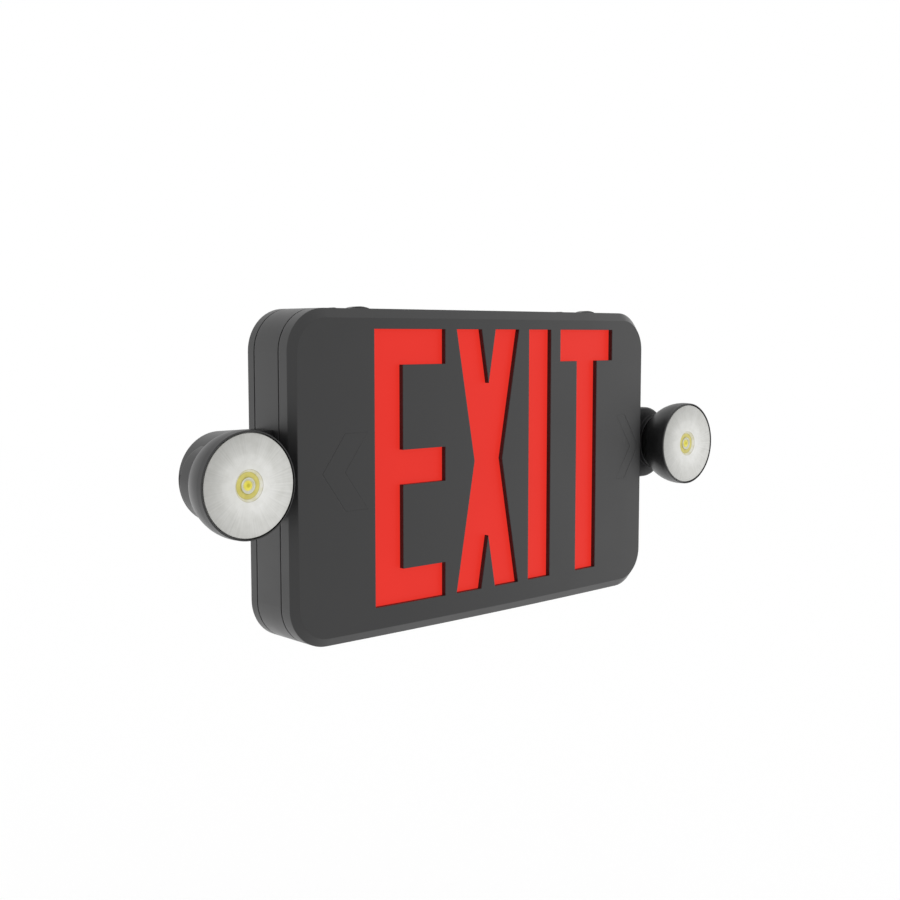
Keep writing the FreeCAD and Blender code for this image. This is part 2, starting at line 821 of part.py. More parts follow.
button_face = -half_height + button_recess + finger_dish_depth
button_top = board_bottom - 0.3 - (board_bottom + inner_half_height) * 0.35
plunger_foot = button_top + 0.1


def make_test_button():
    """A cap with a flange that keeps it in the frame, and a stem under the switch."""
    cap = upright(button_radius, button_face, -inner_half_height + button_flange, button_x, switch_height)
    flange_low = -inner_half_height + 0.1
    flange = upright(button_flange_radius, flange_low, flange_low + button_flange, button_x, switch_height)
    stem = upright(plunger_radius, flange_low, button_top, button_x, switch_height)
    button = cap.fuse([flange, stem]).removeSplitter()
    rim = [e for e in button.Edges if abs(e.BoundBox.ZMax - button_face) < 0.01]
    return button.makeChamfer(0.4, rim)


def make_test_switch():
    across, rise, up = switch_size
    body = block_below(button_x, board_bottom + up / 2, switch_size, board_back)
    return body.cut(upright(plunger_radius + button_clearance, board_bottom - 1, board_bottom + up - 1,
                            button_x, switch_height))


def make_switch_plunger():
    return upright(plunger_radius, plunger_foot, board_bottom + switch_size[2] - 1 - button_travel - 0.4,
                   button_x, switch_height)


def make_status_lens():
    """A light pipe pushed into the frame from the inside."""
    x = button_x + light_pipe_spacing
    top = board_bottom - status_led_radius - 0.3
    pipe = upright(light_pipe_radius, -half_height + button_recess, top, x, switch_height)
    flange = upright(light_pipe_flange_radius, -inner_half_height, -inner_half_height + light_pipe_flange,
                     x, switch_height)
    return pipe.fuse(flange).removeSplitter()


def make_status_led():
    """A dome LED that lies on the board and shines down the light pipe."""
    x = button_x + light_pipe_spacing
    barrel = upright(status_led_radius, board_bottom, board_bottom + 4.0, x, switch_height)
    dome = Part.makeSphere(status_led_radius, V(x, -switch_height, board_bottom))
    holder = block_below(x, board_bottom + 5.0, (4.6, board_back - switch_height + 2.3, 4.0), board_back)
    return barrel.fuse([dome, holder]).removeSplitter()


save("test_button", make_test_button())
save("test_switch", make_test_switch())
save("switch_plunger", make_switch_plunger())
save("status_lens", make_status_lens())
save("status_led", make_status_led())


# ---------------------------------------------------------------- lamp arm, right side


def arm_outline(inset):
    """Flat against the housing and round at its outer end."""
    radius = arm_radius - inset
    near = half_width + inset
    upper, lower = V(arm_x, 0, lamp_z + radius), V(arm_x, 0, lamp_z - radius)
    return Part.Face(Part.Wire([
        Part.makeLine(V(near, 0, lamp_z - radius), lower),
        Part.Arc(lower, V(arm_x + radius, 0, lamp_z), upper).toShape(),
        Part.makeLine(upper, V(near, 0, lamp_z + radius)),
        Part.makeLine(V(near, 0, lamp_z + radius), V(near, 0, lamp_z - radius))]))


def seat_boss():
    """Collar, spherical seat and web that carry the lamp head."""
    seat_ball = bowl_radius + seat_gap
    web_front_height = ball_depth(seat_ball, 0)
    web_back = web_front_height - seat_web
    lip_angle = math.degrees(math.asin(seat_lip_radius / seat_ball))
    hole = pivot_radius + pivot_clearance
    hole_angle = math.degrees(math.asin(hole / seat_ball))
    lip_height = ball_depth(seat_ball, seat_lip_radius)
    edges = [ball_arc(seat_ball, hole_angle, lip_angle)]
    edges += profile_line((seat_lip_radius, lip_height), (seat_radius, lip_height - 0.4), (seat_radius, web_back),
                          (hole, web_back), (hole, ball_depth(seat_ball, hole)))
    return revolve(edges, head_x, lamp_z)


def make_lamp_arm():
    body = stand(arm_outline(0), arm_back, arm_front)
    rims = [e for e in body.Edges if e.BoundBox.YLength < 0.01 and e.BoundBox.XMax > half_width + 1]
    body = body.makeFillet(arm_edge_radius, rims)
    hollow = stand(arm_outline(arm_wall), arm_back - 1, arm_front - arm_wall)
    seat_room = pin(seat_radius - 0.5, arm_front - arm_wall - 1, arm_front + 1, head_x, lamp_z)
    shell = body.cut([hollow, seat_room])
    bosses = [across_pin(arm_boss_radius, 1, half_width + arm_wall / 2, half_width + arm_screw_length + 1, z)
              for z in arm_screw_heights()]
    shell = shell.fuse([seat_boss()] + bosses)
    cuts = [across_pin(arm_screw_radius - 0.2, 1, half_width - 1, half_width + arm_screw_length + 0.5, z)
            for z in arm_screw_heights()]
    cuts.append(across_pin(arm_wire_hole_radius, 1, half_width - 1, half_width + arm_wall + 1, lamp_z))
    cuts.append(latch_window(0))
    return shell.cut(cuts).removeSplitter()


def latch_window(clearance):
    """Where the lid's tab shows in the rim of the arm."""
    low = arm_back + latch_window_inset + clearance
    return block(arm_x + arm_radius - arm_wall - 1, arm_x + arm_radius + 1, low,
                 low + latch_window_length - 2 * clearance,
                 lamp_z - latch_window_height / 2 + clearance, lamp_z + latch_window_height / 2 - clearance)


def make_arm_lid():
    """The lid closes the back of the arm and snaps into the window."""
    inset = arm_wall + arm_lid_clearance
    lid = stand(arm_outline(inset), arm_back + 0.4, arm_back + 0.4 + arm_lid)
    spring_arm = block(arm_x + arm_radius - inset - 1.4, arm_x + arm_radius - inset - 0.2, arm_back + arm_lid,
                       arm_back + latch_window_inset + latch_window_length + 1.5,
                       lamp_z - latch_window_height / 2, lamp_z + latch_window_height / 2)
    tab_end = arm_x + arm_radius - latch_tab_depth
    tab = latch_window(0.3).common(block(arm_x, tab_end, 0, arm_front, -half_height, half_height))
    tab = tab.cut(block(arm_x, arm_x + arm_radius - inset - 1.0, 0, arm_front, -half_height, half_height))
    return lid.fuse([spring_arm, tab]).removeSplitter()


def make_arm_screws():
    screws = []
    for side in (-1, 1):
        for z in arm_screw_heights():
            head = across_pin(screw_head_radius, side, inner_half_width - screw_head_height, inner_half_width, z)
            shank = across_pin(arm_screw_radius - 0.2, side, inner_half_width,
                               half_width + arm_screw_length, z)
            screws.append(head.fuse(shank))
    return Part.makeCompound(screws)


# ---------------------------------------------------------------- lamp head, right side


def make_lamp_bowl():
    """Round bowl with a straight rim, a ledge for the lens and a slot for the pivot."""
    inner_ball = bowl_radius - bowl_wall
    ledge = lens_height - lens_recess - lens_thickness
    seat = lens_radius + lens_clearance
    edges = [ball_arc(bowl_radius, 0, 90)]
    edges += profile_line((bowl_radius, ball_height), (bowl_rim_radius, lens_height - 0.3),
                          (bowl_rim_radius - 0.3, lens_height), (seat, lens_height), (seat, ledge),
                          (inner_ball, ledge), (inner_ball, ball_height))
    edges.append(ball_arc(inner_ball, 90, 0))
    edges += profile_line((0, ball_height - inner_ball), (0, ball_height - bowl_radius))
    return revolve(edges, head_x, lamp_z).cut(bowl_slot())


def bowl_slot():
    """The pivot's key slides in this slot as the head tilts."""
    half_width_of_slot = key_width / 2 + key_clearance
    half_angle = tilt_limit + math.degrees(math.asin((key_length / 2 + key_clearance) / (bowl_radius - bowl_wall)))
    low, high = bowl_radius - 2 * bowl_wall, bowl_radius + bowl_wall
    corners = [V(-half_width_of_slot, low, 0), V(half_width_of_slot, low, 0),
               V(half_width_of_slot, high, 0), V(-half_width_of_slot, high, 0)]
    face = Part.Face(Part.makePolygon(corners + corners[:1]))
    face.rotate(V(0, 0, 0), V(1, 0, 0), -half_angle)
    slot = face.revolve(V(0, 0, 0), V(1, 0, 0), 2 * half_angle)
    slot.translate(V(head_x, -ball_height, lamp_z))
    return slot


def make_lamp_lens():
    """One moulded optic: a flat front disc on a collimator cone with a cavity for the LED."""
    front = lens_height - lens_recess
    back = front - lens_thickness
    foot = front - lens_depth
    dimple = front - lens_dimple_depth
    profile = profile_line((0, dimple), (lens_dimple_radius, dimple), (lens_dimple_radius + 0.8, front),
                           (lens_radius, front), (lens_radius, back), (lens_cone_top_radius, back))
    fall, run = back - foot, lens_cone_top_radius - lens_cone_radius
    profile += profile_line((lens_cone_top_radius, back), (lens_cone_radius + 0.86 * run, back - 0.32 * fall),
                            (lens_cone_radius + 0.5 * run, back - 0.72 * fall), (lens_cone_radius, foot),
                            (lens_cavity_radius, foot), (lens_cavity_radius, foot + lens_cavity_depth),
                            (0, foot + lens_cavity_depth), (0, dimple))
    return revolve(profile, head_x, lamp_z)


led_seat = lens_height - lens_recess - lens_depth - head_led_gap - head_led_base
head_board_back = led_seat - head_board_thickness
heat_sink_back = head_board_back - heat_sink_thickness


def make_head_led():
    base = block_at(head_x, lamp_z, (head_led_size, head_led_base, head_led_size), led_seat)
    dome = Part.makeSphere(head_led_dome, V(head_x, -(led_seat + head_led_base), lamp_z))
    dome = dome.common(pin(head_led_size, led_seat + head_led_base / 2, led_seat + 2 * head_led_size, head_x, lamp_z))
    return base.fuse(dome).removeSplitter()


def make_heat_sink():
    """An aluminium disc whose bevelled edge sits in the bowl."""
    ball = bowl_radius - bowl_wall - heat_sink_clearance
    front_radius = math.sqrt(ball ** 2 - (ball_height - head_board_back) ** 2) - 0.2
    back_radius = math.sqrt(ball ** 2 - (ball_height - heat_sink_back) ** 2)
    edges = profile_line((0, heat_sink_back), (back_radius, heat_sink_back), (front_radius, head_board_back),
                         (0, head_board_back), (0, heat_sink_back))
    return revolve(edges, head_x, lamp_z)


def make_pivot_saddle():
    """Spherical saddle inside the bowl, with a key that passes through the slot."""
    ball = bowl_radius - bowl_wall - saddle_gap
    flat = ball_height - (ball - saddle_thickness)
    angle = math.degrees(math.asin(saddle_radius / ball))
    edges = [ball_arc(ball, 0, angle)]
    edges += profile_line((saddle_radius, ball_depth(ball, saddle_radius)), (saddle_radius, flat), (0, flat),
                          (0, ball_height - ball))
    key_end = ball_height - bowl_radius + 0.1
    key = block_at(head_x, lamp_z, (key_width, flat - key_end, key_length), key_end)
    key = key.common(Part.makeSphere(bowl_radius, V(head_x, -ball_height, lamp_z)))
    saddle = revolve(edges, head_x, lamp_z).fuse(key)
    return saddle.cut(pin(pivot_radius - 1.5, key_end - 1, flat + 1, head_x, lamp_z)).removeSplitter()


saddle_flat = ball_height - (bowl_radius - bowl_wall - saddle_gap - saddle_thickness)
seat_back = ball_depth(bowl_radius + seat_gap, 0) - seat_web
pivot_foot = seat_back - spring_height - nut_height - 0.4
key_foot = ball_height - bowl_radius + 0.1


def make_pivot_stud():
    """Hollow stud: head in the bowl, shank through the saddle, seat, spring washer and nut."""
    neck = pivot_radius - 1.5
    stud = pin(pivot_head_radius, saddle_flat, saddle_flat + pivot_head, head_x, lamp_z)
    stud = stud.fuse([pin(neck, key_foot, saddle_flat, head_x, lamp_z),
                      pin(pivot_radius, pivot_foot, key_foot, head_x, lamp_z)])
    return stud.cut(pin(pivot_bore, pivot_foot - 1, saddle_flat + pivot_head + 1, head_x, lamp_z)).removeSplitter()


def make_pivot_spring():
    """A cupped spring washer that holds the head where it is put."""
    inner = pivot_radius + pivot_clearance
    top, foot = seat_back, seat_back - spring_height
    edges = profile_line((inner, foot), (inner + 0.6, foot), (spring_radius, top - spring_thickness),
                         (spring_radius, top), (spring_radius - 0.6, top), (inner, foot + spring_thickness),
                         (inner, foot))
    return revolve(edges, head_x, lamp_z)


def make_pivot_nut():
    corner_radius_of_nut = nut_width / math.sqrt(3)
    points = [(head_x + corner_radius_of_nut * math.cos(math.radians(60 * k)),
               lamp_z + corner_radius_of_nut * math.sin(math.radians(60 * k))) for k in range(6)]
    top = seat_back - spring_height
    nut = stand(flat_face(points), top - nut_height, top)
    return nut.cut(pin(pivot_radius, top - nut_height - 1, top + 1, head_x, lamp_z))


save("arm_screws", make_arm_screws())

lamp_pieces = {
    "lamp_arm": make_lamp_arm(),
    "arm_lid": make_arm_lid(),
    "lamp_bowl": make_lamp_bowl(),
    "lamp_lens": make_lamp_lens(),
    "lamp_led": make_head_led(),
    "lamp_board": revolve(profile_line((0, head_board_back), (head_board_radius, head_board_back),
                                       (head_board_radius, led_seat), (0, led_seat), (0, head_board_back)),
                          head_x, lamp_z),
    "heat_sink": make_heat_sink(),
    "pivot_saddle": make_pivot_saddle(),
    "pivot_stud": make_pivot_stud(),
    "pivot_spring": make_pivot_spring(),
    "pivot_nut": make_pivot_nut(),
}
for piece_name, piece in lamp_pieces.items():
    save(piece_name + "_right", piece)
    save(piece_name + "_left", mirrored(piece))
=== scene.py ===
# Emergency exit light: finishes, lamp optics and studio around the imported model.
import math

import bmesh
import bpy
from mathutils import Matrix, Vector
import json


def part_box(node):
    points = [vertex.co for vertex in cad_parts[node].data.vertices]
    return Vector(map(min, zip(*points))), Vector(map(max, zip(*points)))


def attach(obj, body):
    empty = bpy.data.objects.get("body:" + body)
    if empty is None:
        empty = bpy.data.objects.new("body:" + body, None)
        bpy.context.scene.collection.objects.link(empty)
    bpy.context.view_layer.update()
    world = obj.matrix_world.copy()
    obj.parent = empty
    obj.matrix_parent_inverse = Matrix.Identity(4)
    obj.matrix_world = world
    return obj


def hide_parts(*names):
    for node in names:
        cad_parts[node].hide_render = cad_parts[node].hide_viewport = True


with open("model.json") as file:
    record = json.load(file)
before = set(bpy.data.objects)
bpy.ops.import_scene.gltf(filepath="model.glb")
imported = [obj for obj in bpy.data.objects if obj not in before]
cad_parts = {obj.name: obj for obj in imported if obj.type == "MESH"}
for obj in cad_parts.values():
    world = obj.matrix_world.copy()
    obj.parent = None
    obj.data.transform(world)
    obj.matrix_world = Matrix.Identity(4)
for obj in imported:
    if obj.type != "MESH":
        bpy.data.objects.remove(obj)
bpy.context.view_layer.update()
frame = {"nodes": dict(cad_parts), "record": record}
nodes = frame["nodes"]
print("frame loaded:", len(nodes), "nodes")


# sRGB hex to the linear values that the shaders use
def linear(hexColour):
    channels = [int(hexColour[i:i + 2], 16) / 255 for i in (1, 3, 5)]
    return tuple(c / 12.92 if c <= 0.04045 else ((c + 0.055) / 1.055) ** 2.4 for c in channels) + (1.0,)


def newMaterial(name):
    material = bpy.data.materials.new(name)
    material.use_nodes = True
    return material


# adds a node, or takes the one that has this name: its settings, what its inputs hold or are linked to,
# and the stops of a colour ramp
def addNode(material, kind, settings=None, values=None, links=None, stops=()):
    tree = material.node_tree
    node = tree.nodes.get(kind) or tree.nodes.new(kind)
    for name, value in (settings or {}).items():
        setattr(node, name, value)
    for name, value in (values or {}).items():
        node.inputs[name].default_value = value
    for name, source in (links or {}).items():
        tree.links.new(source, node.inputs[name])
    if stops:
        elements = node.color_ramp.elements
        while len(elements) < len(stops):
            elements.new(0.5)
        for element, (place, colour) in zip(elements, stops):
            element.position = place
            element.color = linear(colour)
    return node


# a pale room that lights evenly from all round, as for a catalogue
studio = {
    "cameraPlace": (-0.513536, -0.560707, 0.07565),
    "cameraTurn": 42.692,       # degrees to the right of straight into the wall
    "cameraDrop": 5.269,        # degrees below level
    "lens": 49.6,               # mm, on a sensor of this width
    "sensor": 36,
    "roomColour": "#ffffff",
    "roomLight": 1.0,
    # soft boxes that only show as gloss: place, size in metres and watts
    "softBoxes": {
        "right": ((1.6, -0.38, 0.0), 2.1, 4.1),
        "leftRear": ((-0.75, 1.45, -0.35), 2.2, 2.3),
        "under": ((0.05, 0.35, -0.58), 2.0, 3.6),
    },
    "floorHeight": -0.62,
    "floorSize": 14.0,
    "floorTones": [(0.3, "#fefefe"), (0.45, "#ffffff")],
    "fibreScale": 900.0,        # clumps of paper fibre 1.1 mm across
}

scene = bpy.context.scene
scene.view_settings.view_transform = "Standard"

cameraData = bpy.data.cameras.new("studioCamera")
cameraData.lens = studio["lens"]
cameraData.sensor_width = studio["sensor"]
camera = bpy.data.objects.new("studioCamera", cameraData)
camera.location = studio["cameraPlace"]
camera.rotation_euler = (math.radians(90 - studio["cameraDrop"]), 0, math.radians(-studio["cameraTurn"]))
scene.collection.objects.link(camera)
scene.camera = camera

room = bpy.data.worlds.new("paleRoom")
scene.world = room
room.use_nodes = True
roomLight = addNode(room, "Background",
                    values={"Color": linear(studio["roomColour"]), "Strength": studio["roomLight"]})
# the camera, mirrors and glass see a plain white room behind the object
seenRoom = addNode(room, "ShaderNodeBackground", values={"Color": linear("#ffffff"), "Strength": 1.0})
path = addNode(room, "ShaderNodeLightPath")
seenOrMirrored = addNode(room, "ShaderNodeMath", {"operation": "MAXIMUM"},
                         links={0: path.outputs["Is Camera Ray"], 1: path.outputs["Is Glossy Ray"]})
seenAtAll = addNode(room, "ShaderNodeMath", {"operation": "MAXIMUM"},
                    links={0: seenOrMirrored.outputs[0], 1: path.outputs["Is Transmission Ray"]})
chooseRoom = addNode(room, "ShaderNodeMixShader",
                     links={0: seenAtAll.outputs[0], 1: roomLight.outputs[0], 2: seenRoom.outputs[0]})
addNode(room, "World Output", links={"Surface": chooseRoom.outputs[0]})

for name, (spot, size, power) in studio["softBoxes"].items():
    box = bpy.data.lights.new(name + "SoftBox", "AREA")
    box.size = size
    box.energy = power
    softBox = bpy.data.objects.new(name + "SoftBox", box)
    softBox.location = spot
    softBox.rotation_euler = Vector(spot).to_track_quat("Z", "Y").to_euler()
    softBox.visible_camera = False
    softBox.visible_diffuse = False
    scene.collection.objects.link(softBox)

bpy.ops.object.select_all(action="DESELECT")
bpy.ops.mesh.primitive_plane_add(size=studio["floorSize"], location=(0, 0, studio["floorHeight"]))
studioFloor = bpy.context.active_object
studioFloor.name = "studioFloor"
# matt white paper sweep: pale and even, it only takes soft shadows
paperFloor = newMaterial("mattPaper")
place = addNode(paperFloor, "ShaderNodeTexCoord")
fibre = addNode(paperFloor, "ShaderNodeTexNoise", values={"Scale": studio["fibreScale"], "Detail": 2.0},
                links={"Vector": place.outputs["Object"]})
paperTone = addNode(paperFloor, "ShaderNodeValToRGB", links={"Fac": fibre.outputs["Fac"]},
                    stops=studio["floorTones"])
addNode(paperFloor, "Principled BSDF", values={"Roughness": 0.95, "Specular IOR Level": 0.0},
        links={"Base Color": paperTone.outputs["Color"]})
studioFloor.data.materials.append(paperFloor)
print("studio ready")


blackShell = {
    "tones": [(0.35, "#101011"), (0.7, "#151516")],
    "roughness": (0.36, 0.45),  # it follows the flow marks, as the tone does
    "ior": 1.57,
    "edgeSoftness": 0.0007,     # radius of the moulded edges, m
    "sparkSize": 0.0006,        # pitch of the mould's spark texture, m, coarser than real so that it shows
    "sparkDepth": 0.000012,
    "flowMarkSize": 0.0455,     # m
}

# polycarbonate and ABS, injection moulded in a spark-eroded mould: black, satin, with a faint fine grain
mouldedAbs = newMaterial("mouldedAbsBlack")
place = addNode(mouldedAbs, "ShaderNodeTexCoord")
softEdge = addNode(mouldedAbs, "ShaderNodeBevel", {"samples": 6}, {"Radius": blackShell["edgeSoftness"]})
spark = addNode(mouldedAbs, "ShaderNodeTexNoise",
                values={"Scale": 1 / blackShell["sparkSize"], "Detail": 3.0, "Roughness": 0.6},
                links={"Vector": place.outputs["Object"]})
sparkBump = addNode(mouldedAbs, "ShaderNodeBump", values={"Strength": 0.35, "Distance": blackShell["sparkDepth"]},
                    links={"Height": spark.outputs["Fac"], "Normal": softEdge.outputs["Normal"]})
flowMarks = addNode(mouldedAbs, "ShaderNodeTexNoise",
                    values={"Scale": 1 / blackShell["flowMarkSize"], "Detail": 4.0, "Distortion": 0.6},
                    links={"Vector": place.outputs["Object"]})
shellTone = addNode(mouldedAbs, "ShaderNodeValToRGB", links={"Fac": flowMarks.outputs["Fac"]},
                    stops=blackShell["tones"])
smoothest, roughest = blackShell["roughness"]
shellGloss = addNode(mouldedAbs, "ShaderNodeMapRange",
                     values={"From Min": 0.3, "From Max": 0.7, "To Min": smoothest, "To Max": roughest},
                     links={"Value": flowMarks.outputs["Fac"]})
addNode(mouldedAbs, "Principled BSDF", values={"IOR": blackShell["ior"]},
        links={"Base Color": shellTone.outputs["Color"], "Roughness": shellGloss.outputs["Result"],
               "Normal": sparkBump.outputs["Normal"]})

signPanel = {
    "tones": [(0.3, "#5a0d0a"), (0.7, "#620f0b")],
    "cloudSize": 0.0333,        # m
    "glow": [(0.0, "#df2f25"), (1.0, "#e13026")],   # from the middle to the edges, nearer the LED strips
    "glowStrength": 0.93,
    "edgeFrom": 0.02,           # heights from the middle between which the glow changes, m
    "edgeTo": 0.08,
    "roughness": 0.45,
    "ior": 1.49,
    "gloss": 0.12,              # its matt front throws little light back
}

# acrylic, cast and translucent, lit from behind: an even red that is a little stronger near the LED strips
litAcrylic = newMaterial("castAcrylicRed")
place = addNode(litAcrylic, "ShaderNodeTexCoord")
upDown = addNode(litAcrylic, "ShaderNodeSeparateXYZ", links={"Vector": place.outputs["Object"]})
fromMiddle = addNode(litAcrylic, "ShaderNodeMath", {"operation": "ABSOLUTE"}, links={0: upDown.outputs["Z"]})
nearStrip = addNode(litAcrylic, "ShaderNodeMapRange",
                    values={"From Min": signPanel["edgeFrom"], "From Max": signPanel["edgeTo"]},
                    links={"Value": fromMiddle.outputs[0]})
panelGlow = addNode(litAcrylic, "ShaderNodeValToRGB", links={"Fac": nearStrip.outputs["Result"]},
                    stops=signPanel["glow"])
cloud = addNode(litAcrylic, "ShaderNodeTexNoise", values={"Scale": 1 / signPanel["cloudSize"], "Detail": 2.0},
                links={"Vector": place.outputs["Object"]})
panelTone = addNode(litAcrylic, "ShaderNodeValToRGB", links={"Fac": cloud.outputs["Fac"]},
                    stops=signPanel["tones"])
addNode(litAcrylic, "Principled BSDF",
        values={"Roughness": signPanel["roughness"], "IOR": signPanel["ior"],
                "Specular IOR Level": signPanel["gloss"], "Emission Strength": signPanel["glowStrength"]},
        links={"Base Color": panelTone.outputs["Color"], "Emission Color": panelGlow.outputs["Color"]})

mouldings = {
    "mottleSize": 0.0167,       # m
    "grainSize": 0.0005,        # coarser than real so that it shows
    "grainDepth": 0.00001,
    "polishedDepth": 0.000002,
    "ior": 1.5,
}


# one plain moulded plastic or resin, with a mottled tone and a grain
def mouldedFinish(name, colours, roughness, depth=mouldings["grainDepth"]):
    material = newMaterial(name)
    place = addNode(material, "ShaderNodeTexCoord")
    mottle = addNode(material, "ShaderNodeTexNoise",
                     values={"Scale": 1 / mouldings["mottleSize"], "Detail": 3.0},
                     links={"Vector": place.outputs["Object"]})
    tone = addNode(material, "ShaderNodeValToRGB", links={"Fac": mottle.outputs["Fac"]},
                   stops=[(0.35, colours[0]), (0.65, colours[1])])
    fine = addNode(material, "ShaderNodeTexNoise", values={"Scale": 1 / mouldings["grainSize"], "Detail": 2.0},
                   links={"Vector": place.outputs["Object"]})
    bump = addNode(material, "ShaderNodeBump", values={"Strength": 0.4, "Distance": depth},
                   links={"Height": fine.outputs["Fac"]})
    addNode(material, "Principled BSDF", values={"Roughness": roughness, "IOR": mouldings["ior"]},
            links={"Base Color": tone.outputs["Color"], "Normal": bump.outputs["Normal"]})
    return material


# high-impact polystyrene, moulded matt white to throw the light back
mattWhite = mouldedFinish("mouldedStyreneWhite", ("#e8e8e4", "#eeeeea"), 0.6)
# PBT relay case, moulded, a satin blue
relayCase = mouldedFinish("mouldedPbtBlue", ("#28509c", "#2c56a6"), 0.4)
# nylon terminal block, moulded, a satin green
terminalBody = mouldedFinish("mouldedNylonGreen", ("#1d7a3c", "#228644"), 0.45)
# nylon switch body and rubber-like sleeves, near black
switchBody = mouldedFinish("mouldedNylonBlack", ("#1d1d1e", "#222223"), 0.5)
# acetal plunger, moulded in red
plungerBody = mouldedFinish("mouldedAcetalRed", ("#a32018", "#ac241b"), 0.4)
# epoxy LED resin, tinted red and glossy
redResin = mouldedFinish("castEpoxyRed", ("#c02a20", "#cc3024"), 0.15, mouldings["polishedDepth"])
# silicone with phosphor, moulded over the chip: a dull egg yellow
phosphor = mouldedFinish("mouldedSiliconePhosphor", ("#d8c640", "#e2d04c"), 0.35)

lightPipe = {
    "tones": [(0.3, "#b02018"), (0.7, "#c82a1e")],
    "swirlSize": 0.005,         # m
    "glow": "#ff3020",
    "glowStrength": 0.35,
    "roughness": 0.12,
    "ior": 1.49,
}

# acrylic light pipe, moulded and polished, lit from behind by the status LED
litPipe = newMaterial("polishedAcrylicPipe")
place = addNode(litPipe, "ShaderNodeTexCoord")
swirl = addNode(litPipe, "ShaderNodeTexNoise", values={"Scale": 1 / lightPipe["swirlSize"], "Detail": 2.0},
                links={"Vector": place.outputs["Object"]})
pipeTone = addNode(litPipe, "ShaderNodeValToRGB", links={"Fac": swirl.outputs["Fac"]}, stops=lightPipe["tones"])
addNode(litPipe, "Principled BSDF",
        values={"Roughness": lightPipe["roughness"], "IOR": lightPipe["ior"],
                "Emission Color": linear(lightPipe["glow"]), "Emission Strength": lightPipe["glowStrength"]},
        links={"Base Color": pipeTone.outputs["Color"]})

circuitBoards = {
    "runLength": 0.0127,        # copper runs on the usual grid, m
    "runPitch": 0.00254,
    "runWidth": 0.00035,
    "padPitch": 0.00625,
    "padShare": 0.16,           # radius of a pad as a share of the pitch
    "roughness": 0.3,
}


# circuit board with a solder mask: copper runs show through as a paler tone
def boardFinish(name, mask, trace, pad):
    material = newMaterial(name)
    place = addNode(material, "ShaderNodeTexCoord")
    turned = addNode(material, "ShaderNodeMapping", values={"Rotation": (math.radians(90), 0, 0)},
                     links={"Vector": place.outputs["Object"]})
    runs = addNode(material, "ShaderNodeTexBrick", {"offset": 0.35},
                   {"Scale": 1.0, "Mortar Size": circuitBoards["runWidth"], "Mortar Smooth": 0.1,
                    "Brick Width": circuitBoards["runLength"], "Row Height": circuitBoards["runPitch"],
                    "Color1": linear(mask), "Color2": linear(mask), "Mortar": linear(trace)},
                   {"Vector": turned.outputs["Vector"]})
    holes = addNode(material, "ShaderNodeTexVoronoi",
                    values={"Scale": 1 / circuitBoards["padPitch"], "Randomness": 0.55},
                    links={"Vector": place.outputs["Object"]})
    isPad = addNode(material, "ShaderNodeMath", {"operation": "LESS_THAN"}, {1: circuitBoards["padShare"]},
                    {0: holes.outputs["Distance"]})
    tone = addNode(material, "ShaderNodeMix", {"data_type": "RGBA"}, {"B": linear(pad)},
                   {"Factor": isPad.outputs[0], "A": runs.outputs["Color"]})
    addNode(material, "Principled BSDF", values={"Roughness": circuitBoards["roughness"]},
            links={"Base Color": tone.outputs["Result"]})
    return material


# glass-epoxy laminate with green solder mask and tinned pads
boardGreen = boardFinish("glassEpoxyGreen", "#0f5a2c", "#1f7a40", "#b8b8ac")
# aluminium-core laminate with white solder mask
boardWhite = boardFinish("metalCoreLaminateWhite", "#ecece6", "#dcdcd4", "#c4b896")

lensLow, lensHigh = (Vector(corner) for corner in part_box("lamp_lens_right"))
lampMiddle = (lensLow + lensHigh) / 2


# both lamps share a pattern about their own axes: this is the way across and up from the nearer axis
def fromLampAxis(material):
    place = addNode(material, "ShaderNodeTexCoord")
    split = addNode(material, "ShaderNodeSeparateXYZ", links={"Vector": place.outputs["Object"]})
    whichLamp = addNode(material, "ShaderNodeMath", {"operation": "SIGN"}, links={0: split.outputs["X"]})
    axis = addNode(material, "ShaderNodeMath", {"operation": "MULTIPLY"}, {1: lampMiddle.x},
                   {0: whichLamp.outputs[0]})
    across = addNode(material, "ShaderNodeMath", {"operation": "SUBTRACT"},
                     links={0: split.outputs["X"], 1: axis.outputs[0]})
    up = addNode(material, "ShaderNodeMath", {"operation": "SUBTRACT"}, {1: lampMiddle.z},
                 {0: split.outputs["Z"]})
    flat = addNode(material, "ShaderNodeCombineXYZ", links={"X": across.outputs[0], "Y": up.outputs[0]})
    return flat.outputs[0]


turnedParts = {
    "tones": [(0.3, "#c4c4c6"), (0.7, "#d6d6d8")],
    "ringPitch": 0.0004,        # feed of the tool, m, coarser than real so that it shows
    "ringDepth": 0.00001,
    "roughness": 0.3,
}

# aluminium, turned on a lathe: bright, with fine rings about the axis
turnedAluminium = newMaterial("turnedAluminium")
out = addNode(turnedAluminium, "ShaderNodeVectorMath", {"operation": "LENGTH"},
              links={0: fromLampAxis(turnedAluminium)})
rings = addNode(turnedAluminium, "ShaderNodeTexNoise", {"noise_dimensions": "1D"},
                {"Scale": 1 / turnedParts["ringPitch"], "Detail": 3.0}, {"W": out.outputs["Value"]})
ringTone = addNode(turnedAluminium, "ShaderNodeValToRGB", links={"Fac": rings.outputs["Fac"]},
                   stops=turnedParts["tones"])
ringBump = addNode(turnedAluminium, "ShaderNodeBump",
                   values={"Strength": 0.5, "Distance": turnedParts["ringDepth"]},
                   links={"Height": rings.outputs["Fac"]})
addNode(turnedAluminium, "Principled BSDF", values={"Metallic": 1.0, "Roughness": turnedParts["roughness"]},
        links={"Base Color": ringTone.outputs["Color"], "Normal": ringBump.outputs["Normal"]})

platedParts = {
    "tones": [(0.0, "#b2b4b6"), (0.6, "#c6c8ca")],
    "spangleSize": 0.0011,      # m
    "roughness": 0.34,
}

